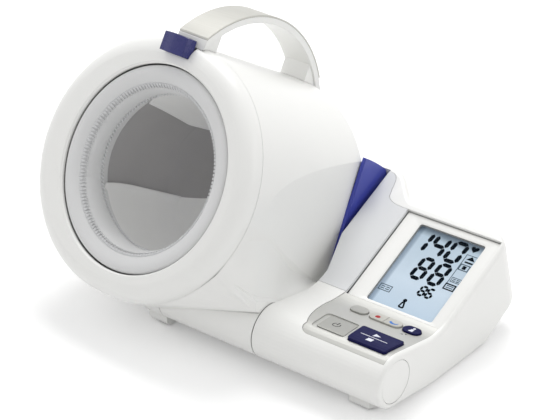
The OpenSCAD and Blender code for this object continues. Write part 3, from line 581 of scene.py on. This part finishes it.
outer_count, inner_count = 146, 128
overlock, chain = [], []
for k in range(outer_count):
    pitch = 360 / outer_count
    turn = k * pitch
    for lean in (0.0, 0.5):
        near, far = (59.2, 4.3), (56.2, 8.3)
        overlock.append([in_drum(turn + (lean + (0.32 if lean else -0.32) * u) * pitch,
                                 near[0] + (far[0] - near[0]) * u - 0.45 * math.sin(math.pi * u),
                                 near[1] + (far[1] - near[1]) * u - 0.55 * math.sin(math.pi * u))
                         for u in (0, 0.2, 0.5, 0.8, 1)])
for k in range(inner_count):
    pitch = 360 / inner_count
    turn = k * pitch
    low = bump_at(turn, 252, 75)
    radius, depth = 55.2 - 1.5 * low, 21.9 + 5.0 * low + 1.2 * bump_at(turn, 128, 50)
    chain.append([in_drum(turn + 0.78 * pitch * u, radius + 0.2 - 1.3 * math.sin(math.pi * u),
                          depth - 1.3 + 2.3 * u) for u in (0, 0.25, 0.5, 0.75, 1)])
seam_outer = threads("seam_outer", overlock, 0.00046)
seam_inner = threads("seam_inner", chain, 0.00068)
thread_finish = Finish("sewing_thread", Specular_IOR_Level=0.3, Sheen_Weight=0.3)
ply = thread_finish.node("ShaderNodeTexWave", {}, {"Vector": thread_finish.place, "Scale": 900.0, "Distortion": 2.0})
thread_finish.set(Base_Color=thread_finish.blend(ply, (0.70, 0.71, 0.72), (0.82, 0.82, 0.83)),
                  Roughness=0.55 + 0.2 * ply)
thread_finish.relief(ply, 0.00004)
for seam in (seam_outer, seam_inner):
    thread_finish.onto(seam)
    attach(seam, "cuff_drum")


# Liquid crystal display. A lit pale blue cell with dark segments under a clear window, in a white
# moulded frame that is sunk in the slope. Painted shadow darkens the cell along its top and left
# edges. Its figures and signs are generic; the frame is bare.
roll_low = Vector((0.151708, -0.054583, 0.0129))
slope = math.radians(24.9)
slope_back = Vector((0, math.cos(slope), math.sin(slope)))
slope_out = Vector((0, -math.sin(slope), math.cos(slope)))


def on_slope(x, y, h):
    """A point in the slope's own frame, in millimetres."""
    return roll_low + 0.001 * (Vector((x, 0, 0)) + y * slope_back + h * slope_out)


def printed(name, outlines, place, body, thickness=0.00004):
    """Thin ink on a surface: each outline of plan points is placed by place(x, y) and given a thickness."""
    ink = bmesh.new()
    for outline in outlines:
        ink.faces.new([ink.verts.new(place(x, y)) for x, y in outline])
    bmesh.ops.triangulate(ink, faces=ink.faces)
    bmesh.ops.recalc_face_normals(ink, faces=ink.faces)
    mesh = bpy.data.meshes.new(name)
    ink.to_mesh(mesh)
    ink.free()
    thing = bpy.data.objects.new(name, mesh)
    bpy.context.scene.collection.objects.link(thing)
    applied(thing, "SOLIDIFY", thickness=thickness, offset=0)
    for face in thing.data.polygons:
        face.use_smooth = False
    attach(thing, body)
    return thing


def segment(ax, ay, bx, by, thick):
    """One bar of a figure with pointed ends, between two points."""
    length = math.hypot(bx - ax, by - ay)
    ux, uy = (bx - ax) / length, (by - ay) / length
    h = thick / 2
    gap = 0.10 * thick
    points = [(gap, 0), (gap + h, h), (length - gap - h, h), (length - gap, 0), (length - gap - h, -h),
              (gap + h, -h)]
    return [(ax + ux * s - uy * t, ay + uy * s + ux * t) for s, t in points]


lit_bars = {"0": "abcdef", "1": "bc", "4": "bcfg", "6": "acdefg", "8": "abcdefg"}


def figure(digit, x, y, wide, tall, thick, lean=0.09):
    """Seven-segment figure with its lower left corner at x, y on the slope."""
    corner = {name: (x + a * wide + lean * b * tall, y + b * tall) for name, a, b in
              (("tl", 0, 1), ("tr", 1, 1), ("ml", 0, 0.5), ("mr", 1, 0.5), ("bl", 0, 0), ("br", 1, 0))}
    ends = {"a": ("tl", "tr"), "b": ("tr", "mr"), "c": ("mr", "br"), "d": ("bl", "br"), "e": ("ml", "bl"),
            "f": ("tl", "ml"), "g": ("ml", "mr")}
    return [segment(*corner[ends[s][0]], *corner[ends[s][1]], thick) for s in lit_bars[digit]]


def disc(x, y, rx, ry, n=20, start=0.0):
    return [(x + rx * math.cos(start + math.tau * i / n), y + ry * math.sin(start + math.tau * i / n))
            for i in range(n)]


def plain_box(x0, y0, x1, y1):
    return [(x0, y0), (x1, y0), (x1, y1), (x0, y1)]


def frame_bars(x0, y0, x1, y1, line):
    """Four bars round a box."""
    return [plain_box(x0, y0, x1, y0 + line), plain_box(x0, y1 - line, x1, y1),
            plain_box(x0, y0, x0 + line, y1), plain_box(x1 - line, y0, x1, y1)]


dark_marks = []
for digit, x in (("1", -63.1), ("4", -49.6), ("0", -35.6)):
    dark_marks += figure(digit, x, 112.7, 9.2, 16.6, 3.2)
for digit, x in (("8", -49.0), ("8", -35.4)):
    dark_marks += figure(digit, x, 91.2, 7.9, 17.6, 3.0)
for digit, x in (("8", -36.1), ("6", -30.4)):
    dark_marks += figure(digit, x, 79.9, 4.1, 7.5, 1.8)
heart = [(-19.4 + 0.19 * 16 * math.sin(t) ** 3,
          128.2 + 0.19 * (13 * math.cos(t) - 5 * math.cos(2 * t) - 2 * math.cos(3 * t) - math.cos(4 * t)))
         for t in (math.tau * i / 28 for i in range(28))]
person = [disc(-40.4, 72.0, 1.5, 1.5), segment(-41.1, 70.9, -42.2, 65.6, 1.2), segment(-40.0, 70.9, -38.4, 65.6, 1.2),
          segment(-42.6, 66.0, -38.0, 66.0, 1.2), segment(-41.9, 69.9, -39.2, 69.9, 1.2)]
dark_marks += [heart] + person
dark_marks += [[(-20.6, 118.6), (-14.0, 118.6), (-17.4, 122.0)], plain_box(-20.4, 115.8, -14.2, 117.1),
               plain_box(-19.4, 110.2, -16.6, 113.2)]
dark_marks += frame_bars(-22.8, 90.9, -14.2, 96.4, 1.0)
pale_marks = [plain_box(-22.4, 92.0, -21.9, 122.8), plain_box(-22.4, 122.3, -14.0, 122.8)]
pale_marks += frame_bars(-21.8, 109.0, -14.2, 114.4, 0.7) + frame_bars(-21.2, 98.0, -13.4, 102.2, 0.5)
pale_marks += frame_bars(-64.0, 73.3, -54.4, 78.6, 0.6)
pale_marks += [plain_box(x, y, x + w, y + 0.7) for x, y, w in (
    (-20.0, 100.4, 2.2), (-20.0, 99.0, 2.2), (-17.0, 99.0, 2.4), (-17.0, 100.4, 2.4), (-21.2, 94.2, 5.4),
    (-21.2, 92.6, 5.4), (-62.4, 76.4, 2.8), (-62.4, 74.8, 2.8), (-58.8, 76.4, 3.0), (-58.8, 74.8, 3.0))]


def rounded_box(x0, y0, x1, y1, r, n=6):
    """Outline of a box with rounded corners, anticlockwise."""
    return [(cx + r * math.cos(a0 + math.pi / 2 * i / n), cy + r * math.sin(a0 + math.pi / 2 * i / n))
            for cx, cy, a0 in ((x1 - r, y1 - r, 0), (x0 + r, y1 - r, math.pi / 2), (x0 + r, y0 + r, math.pi),
                               (x1 - r, y0 + r, 1.5 * math.pi)) for i in range(n + 1)]


display_edge = (-79.5, 59.0, -3.4, 138.1)
window_edge = (-65.4, 62.2, -12.6, 132.2)
# The frame's cross-section, as edge, distance in from it, corner radius and height on the slope.
frame_rows = []
for box_edge, inward, corner_r, height in (
        (display_edge, 0.2, 0.6, -4.3), (display_edge, 0.2, 0.6, -2.6), (display_edge, 0.35, 0.7, -2.3),
        (display_edge, 0.75, 0.9, -2.2), (window_edge, -0.5, 2.0, -2.2), (window_edge, 0.0, 1.7, -2.45),
        (window_edge, 0.25, 1.5, -4.2), (window_edge, -1.5, 2.0, -4.3)):
    x0, y0, x1, y1 = box_edge
    frame_rows.append([on_slope(x, y, height) for x, y in
                       rounded_box(x0 + inward, y0 + inward, x1 - inward, y1 - inward, corner_r)])
display_frame = surface("display_frame", frame_rows, around=True, closed=True)
sharp = display_frame.modifiers.new("crease", "EDGE_SPLIT")
sharp.split_angle = math.radians(35)
white.onto(display_frame)
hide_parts("display_bezel")
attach(display_frame, "base")

x0, y0, x1, y1 = window_edge
cell_plate = printed("display_cell", [rounded_box(x0 - 1, y0 - 1, x1 + 1, y1 + 1, 1)],
                     lambda x, y: on_slope(x, y, -5.2), "base", 0.0016)
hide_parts("lcd_cell")
lens_plate = printed("display_window", [rounded_box(x0 + 0.1, y0 + 0.1, x1 - 0.1, y1 - 0.1, 1.6)],
                     lambda x, y: on_slope(x, y, -3.1), "base", 0.0008)
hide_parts("lcd_window")


def on_cell(x, y):
    return on_slope(x, y, -4.36)


lcd_dark = printed("lcd_figures", dark_marks, on_cell, "base")
lcd_pale = printed("lcd_signs", pale_marks, on_cell, "base")


def ink(name, colour, roughness=0.4, gloss=0.3):
    """Printed ink: an almost even colour with a slight cloudiness in tint and gloss."""
    finish = Finish(name, Specular_IOR_Level=gloss)
    cloud = finish.grain(700, 2)
    finish.set(Base_Color=finish.blend(cloud, tuple(0.85 * c for c in colour), colour),
               Roughness=roughness + 0.1 * cloud)
    return finish


ink("lcd_black", (0.004, 0.007, 0.012), gloss=0.0).onto(lcd_dark)
ink("lcd_grey", (0.075, 0.115, 0.15), gloss=0.0).onto(lcd_pale)

lcd = Finish("lcd_cell", Specular_IOR_Level=0.05, Emission_Strength=0.38)
lcd_low, lcd_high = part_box("lcd_cell")
lcd_high.y += 0.0012
rise = (lcd.along("Y") - lcd_low.y) / (lcd_high.y - lcd_low.y)
sweep_x = (lcd.along("X") - lcd_low.x) / (lcd_high.x - lcd_low.x)
# Painted shadow: the first ramp darkens a band along the cell's top edge and the second darkens its left edge, in both
# colour and glow, where the frame's shade falls.
glow_with_top_shadow = lcd.node("ShaderNodeValToRGB", {"stops": [(0.0, (0.42, 0.52, 0.62)), (0.35, (0.48, 0.565, 0.65)),
                                                 (0.86, (0.38, 0.465, 0.54)), (0.925, (0.15, 0.195, 0.24)),
                                                 (1.0, (0.10, 0.13, 0.17))]},
                {"Fac": rise + 0.05 * lcd.grain(30, 2) - 0.025})
painted_left_shadow = lcd.node("ShaderNodeValToRGB", {"stops": [(0.0, (0.55, 0.58, 0.62)), (0.05, (0.6, 0.63, 0.67)),
                                                     (0.085, (1, 1, 1))]}, {"Fac": sweep_x})
glow_with_painted_shadows = lcd.blend(1.0, glow_with_top_shadow, painted_left_shadow, "MULTIPLY")
lcd.set(Base_Color=glow_with_painted_shadows, Emission_Color=glow_with_painted_shadows,
        Roughness=0.35 + 0.1 * lcd.grain(300, 2))
lcd.onto(nodes["lcd_cell"], cell_plate)

glass = Finish("window", Base_Color=(0.03, 0.04, 0.05), Specular_IOR_Level=0.4)
glass_haze = glass.grain(60, 2)
glass.set(Alpha=0.02 + 0.02 * glass_haze, Roughness=0.06 + 0.05 * glass_haze)
glass.onto(nodes["lcd_window"], lens_plate)


# Control panel and its keys. Satin silver paint on the panel and the grey keys, two pale half
# keys with a sun and a moon, and two navy keys. The marks are printed on them in ink.
def satin(name, colour, metal, roughness):
    """Fine metallic paint: tiny flakes in tint and gloss."""
    finish = Finish(name, Metallic=metal, Specular_IOR_Level=0.5)
    flake = finish.grain(3200, 2, 0.7)
    finish.set(Base_Color=finish.blend(flake, tuple(0.92 * c for c in colour), tuple(1.06 * c for c in colour)),
               Roughness=roughness + 0.12 * flake)
    finish.relief(finish.grain(1400, 2), 0.00001, 0.0005)
    return finish


satin("panel_silver", (0.52, 0.52, 0.495), 0.25, 0.33).onto(nodes["control_panel"])
satin("key_silver", (0.40, 0.40, 0.375), 0.2, 0.36).onto(nodes["memory_button"], nodes["power_button"])
satin("half_key_silver", (0.50, 0.49, 0.45), 0.15, 0.36).onto(nodes["morning_button"], nodes["evening_button"])
smooth("control_panel", "memory_button", "power_button", "morning_button", "evening_button")


def on_top(node):
    """Places plan points, counted in millimetres from the roll's right end, on top of a CAD node."""
    thing = nodes[node]

    def place(x, y):
        start = Vector((0.151708 + 0.001 * x, -0.054583 + 0.001 * y, 0.2))
        hit, where, normal, face = thing.ray_cast(start, Vector((0, 0, -1)))
        return (where if hit else Vector((start.x, start.y, 0.04))) + Vector((0, 0, 0.00004))
    return place


def fine(outline, cut=1.2):
    """Splits a long outline's edges so that its ink follows a curved key."""
    points = []
    for (ax, ay), (bx, by) in zip(outline, outline[1:] + outline[:1]):
        n = max(1, int(math.hypot(bx - ax, by - ay) / cut))
        points += [(ax + (bx - ax) * i / n, ay + (by - ay) * i / n) for i in range(n)]
    return points


sun = printed("sun_mark", [disc(-43.4, 40.3, 1.9, 1.7)], on_top("morning_button"), "morning_key")
moon = printed("moon_mark", [
    [(-30.6 + 3.4 * math.cos(a), 40.9 + 2.9 * math.sin(a)) for a in (math.radians(185 + 14 * i) for i in range(13))]
    + [(-30.0 + 2.9 * math.cos(a), 42.3 + 2.6 * math.sin(a)) for a in (math.radians(335 - 13 * i) for i in range(11))]],
    on_top("evening_button"), "evening_key")
user_mark = printed("person_mark", [disc(-15.7, 42.6, 1.0, 0.9),
                                    [(-17.9, 37.9), (-14.5, 37.9), (-14.9, 41.4), (-16.6, 41.4)]],
                    on_top("user_button"), "user_key")
start_mark = printed("start_mark", [fine(plain_box(-34.6, 8.6, -13.8, 9.3)),
                                    [(-26.8, 10.8), (-21.6, 13.1), (-26.8, 15.4)],
                                    plain_box(-26.6, 2.6, -22.2, 6.6)],
                     on_top("start_button"), "start_key")
ring_mark = [[(-55.2 + r * math.cos(a), 10.6 + r * math.sin(a)) for r, a in
              ((3.0, a0), (3.0, a1), (2.3, a1), (2.3, a0))]
             for a0, a1 in ((math.radians(125 + 20 * i), math.radians(145 + 20 * i)) for i in range(14))]
power_mark = printed("power_mark", ring_mark + [plain_box(-55.6, 10.8, -54.8, 14.6)],
                     on_top("power_button"), "power_key")
arrows = printed("choice_marks", [[(-17.4, 34.2), (-15.2, 34.2), (-16.3, 32.8)],
                                  [(-19.6, 31.6), (-17.4, 31.6), (-18.5, 33.0)]],
                 on_top("control_panel"), "base")
ink("sun_red", (0.42, 0.012, 0.012)).onto(sun)
ink("moon_blue", (0.05, 0.20, 0.62)).onto(moon)
ink("mark_white", (0.80, 0.82, 0.90)).onto(user_mark, start_mark)
ink("mark_black", (0.03, 0.03, 0.03)).onto(power_mark, arrows)


# Rubber feet, mat and tube. Matt rubber with a dusty bloom; the tube is a clearer grey.
def rubber(name, colour):
    finish = Finish(name, Specular_IOR_Level=0.3)
    bloom = finish.grain(350, 4, 0.65)
    finish.set(Base_Color=finish.blend(bloom, colour, tuple(1.5 * c for c in colour)),
               Roughness=0.6 + 0.25 * bloom)
    finish.relief(finish.grain(1600, 3), 0.00003, 0.0003)
    return finish


rubber("rubber_black", (0.03, 0.03, 0.03)).onto(nodes["rubber_feet"], nodes["key_mat"])
rubber("rubber_tube", (0.5, 0.5, 0.47)).onto(nodes["air_tube"])
rubber("bladder_grey", (0.30, 0.31, 0.34)).onto(nodes["air_bladder"])


# Metal inside: shaft, bushes, screws and battery contacts. Turned or drawn, so each shows fine
# lines; the pump's can and the cells are plated sheet.
def metal(name, colour, roughness, stretch):
    finish = Finish(name, Metallic=1.0)
    lines = finish.node("ShaderNodeTexNoise", {}, {
        "Vector": finish.node("ShaderNodeMapping", {}, {"Vector": finish.place, "Scale": stretch}),
        "Scale": 1.0, "Detail": 3.0})
    finish.set(Base_Color=finish.blend(lines, tuple(0.88 * c for c in colour), colour),
               Roughness=roughness + 0.15 * lines)
    finish.relief(lines, 0.00002, 0.0002)
    return finish


metal("steel_turned", (0.62, 0.62, 0.61), 0.22, (900, 60, 60)).onto(
    nodes["hinge_shaft"], nodes["tray_screws"], nodes["drum_screws"])
metal("bronze_sintered", (0.70, 0.48, 0.24), 0.35, (500, 500, 500)).onto(nodes["hinge_bushes"])
metal("nickel_wire", (0.74, 0.73, 0.70), 0.18, (600, 600, 600)).onto(nodes["battery_contacts"])
metal("pump_can", (0.45, 0.45, 0.46), 0.3, (60, 900, 60)).onto(nodes["air_pump"])
cells = Finish("cell_jacket", Specular_IOR_Level=0.5)
cell_low, cell_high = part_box("battery_cells")
along_cell = (cells.along("X") - cell_low.x) / (cell_high.x - cell_low.x)
jacket = cells.node("ShaderNodeValToRGB", {
    "stops": [(0.0, (0.5, 0.5, 0.5)), (0.04, (0.03, 0.035, 0.05)), (0.7, (0.05, 0.06, 0.09)),
              (0.72, (0.55, 0.35, 0.12))]}, {"Fac": along_cell + 0.01 * cells.grain(200, 2)})
cells.set(Base_Color=jacket, Roughness=0.28 + 0.1 * cells.grain(300, 2))
cells.onto(nodes["battery_cells"])


# Plastic and boards inside: circuit boards under green solder mask, black sensor, valve, latch
# and inlet, the light plate behind the display and the cuff's frame tube.
def board(name, colour):
    finish = Finish(name, Specular_IOR_Level=0.5)
    traces = finish.node("ShaderNodeTexBrick", {"offset": 0.35}, {
        "Vector": finish.place, "Scale": 260.0, "Mortar Size": 0.03, "Color1": tuple(1.0 * c for c in colour),
        "Color2": tuple(0.8 * c for c in colour), "Mortar": tuple(1.9 * c for c in colour)})
    finish.set(Base_Color=traces, Roughness=0.3 + 0.15 * finish.grain(400, 2))
    return finish


board("solder_mask", (0.02, 0.14, 0.05)).onto(nodes["circuit_board"], nodes["key_board"])
black = shell("black_plastic", (0.022, 0.022, 0.024), 0.42, 0.0003)
black.onto(*(nodes[n] for n in ("pressure_sensor", "release_valve", "latch_slide", "dc_inlet")))
shell("light_plate", (0.82, 0.90, 0.97), 0.5, 0.0003).onto(nodes["backlight_plate"])
shell("frame_plastic", (0.72, 0.72, 0.71), 0.5, 0.0004).onto(nodes["cuff_frame"])
smooth("hinge_shaft", "tray_screws", "drum_screws", "hinge_bushes", "air_pump", "battery_cells", "air_tube",
       "rubber_feet", "dc_inlet", "release_valve", "cuff_frame", "air_bladder")
